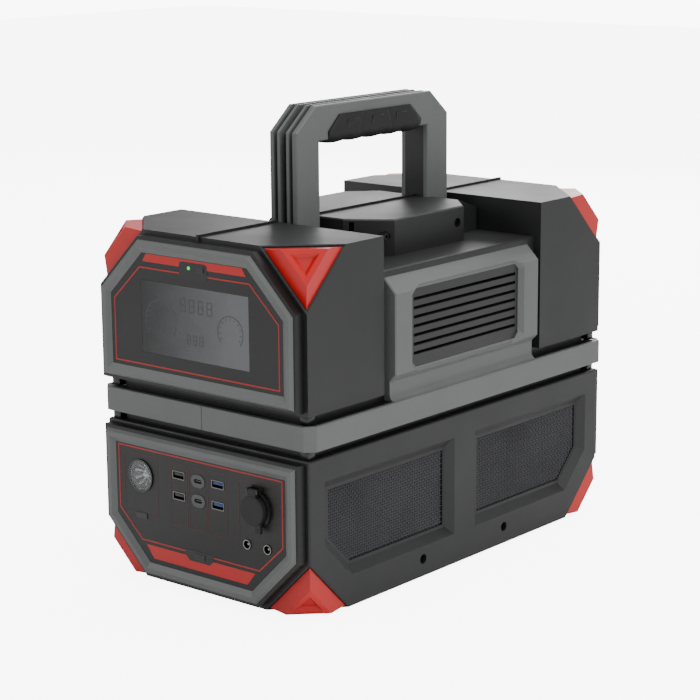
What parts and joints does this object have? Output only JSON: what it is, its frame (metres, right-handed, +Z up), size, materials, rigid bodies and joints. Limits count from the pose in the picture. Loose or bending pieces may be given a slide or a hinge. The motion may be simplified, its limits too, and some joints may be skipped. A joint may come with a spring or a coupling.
{
  "type": "portable power station",
  "caption": "Two-storey portable power station with a carry handle, grey belt, red corner caps, display panel, output sockets and side vents.",
  "frame": {"origin": "on the ground, below the middle of the whole part's bounding box", "axes": "+Z up; -Y towards the display and output panels; X across the panels, +X to the right when facing them"},
  "size_m": [0.25, 0.4614, 0.4208],
  "materials": {
    "shell_black": "fine texture",
    "panel_black": "smooth satin",
    "grey_plastic": "fine texture",
    "red_plastic": "satin",
    "soft_rubber": "soft grip",
    "mesh_black": "woven pattern",
    "key_black": "smooth",
    "smoked_window": "smooth, tinted",
    "display_dark": "flat display",
    "light_green": "clear",
    "clear_lens": "clear",
    "reflector": "mirror",
    "light_chip": "phosphor",
    "port_steel": "plated",
    "port_black": "smooth",
    "port_blue": "smooth",
    "port_grey": "smooth",
    "screw_steel": "blackened",
    "cell_wrap": "shrink film",
    "tray_white": "smooth",
    "board_green": "solder mask",
    "sink_aluminium": "extruded",
    "fan_black": "smooth"
  },
  "bodies": {
    "case": {"base_shell_left": "shell_black", "base_shell_right": "shell_black", "top_shell_left": "shell_black", "top_shell_right": "shell_black", "rubber_feet": "soft_rubber", "side_mesh": "mesh_black", "belt_left": "grey_plastic", "belt_right": "grey_plastic", "neck_frame": "panel_black", "vent_frame_left": "grey_plastic", "vent_frame_right": "grey_plastic", "vent_grille_left": "shell_black", "vent_grille_right": "shell_black", "deck_left": "shell_black", "deck_right": "shell_black", "handle_core": "panel_black", "handle_plate_left": "grey_plastic", "handle_plate_right": "grey_plastic", "handle_ribs": "grey_plastic", "handle_grip": "soft_rubber", "display_housing": "panel_black", "display_trim": "grey_plastic", "display_window": "smoked_window", "display_module": "display_dark", "status_light": "light_green", "output_housing": "panel_black", "output_trim": "grey_plastic", "torch_reflector": "reflector", "torch_lens": "clear_lens", "torch_chip": "light_chip", "usb_a_ports": "port_black", "usb_c_ports": "port_grey", "usb_fast_ports": "port_blue", "dc_jacks": "port_steel", "car_socket": "port_black", "mains_housing": "panel_black", "mains_trim": "grey_plastic", "mains_outlets": "port_black", "charge_housing": "panel_black", "charge_trim": "grey_plastic", "charge_inlet": "port_black", "corner_caps_upper_front": "red_plastic", "corner_caps_upper_rear": "red_plastic", "corner_caps_lower_front": "red_plastic", "corner_caps_lower_rear": "red_plastic", "case_screws": "screw_steel", "handle_bolts": "screw_steel", "battery_cells": "cell_wrap", "cell_trays": "tray_white", "battery_board": "board_green", "inverter_board": "board_green", "heat_sink": "sink_aluminium", "fan_frames": "fan_black"},
    "power_key": {"power_key": "key_black"},
    "torch_key": {"torch_key": "key_black"},
    "output_key": {"output_key": "key_black"},
    "mains_key": {"mains_key": "key_black"},
    "socket_cover": {"car_socket_cover": "soft_rubber"},
    "left_fan": {"fan_rotor_left": "fan_black"},
    "right_fan": {"fan_rotor_right": "fan_black"}
  },
  "joints": [
    {"name": "power_key_press", "type": "slide", "parent": "case", "child": "power_key", "axis": [0, 1, 0], "range_m": [0, 0.0006], "stiffness_N_per_m": 600},
    {"name": "torch_key_press", "type": "slide", "parent": "case", "child": "torch_key", "axis": [0, 1, 0], "range_m": [0, 0.0006], "stiffness_N_per_m": 600},
    {"name": "output_key_press", "type": "slide", "parent": "case", "child": "output_key", "axis": [0, 1, 0], "range_m": [0, 0.0006], "stiffness_N_per_m": 600},
    {"name": "mains_key_press", "type": "slide", "parent": "case", "child": "mains_key", "axis": [0, -1, 0], "range_m": [0, 0.0006], "stiffness_N_per_m": 600},
    {"name": "socket_cover_hinge", "type": "hinge", "parent": "case", "child": "socket_cover", "pos_m": [0.0695, -0.2277, 0.1127], "axis": [-1, 0, 0], "range_deg": [0, 110]},
    {"name": "right_fan_spin", "type": "hinge", "parent": "case", "child": "right_fan", "pos_m": [0.097, 0.0027, 0.2305], "axis": [1, 0, 0], "continuous": true},
    {"name": "left_fan_spin", "type": "hinge", "parent": "case", "child": "left_fan", "pos_m": [-0.097, 0.0027, 0.2305], "axis": [1, 0, 0], "continuous": true}
  ]
}
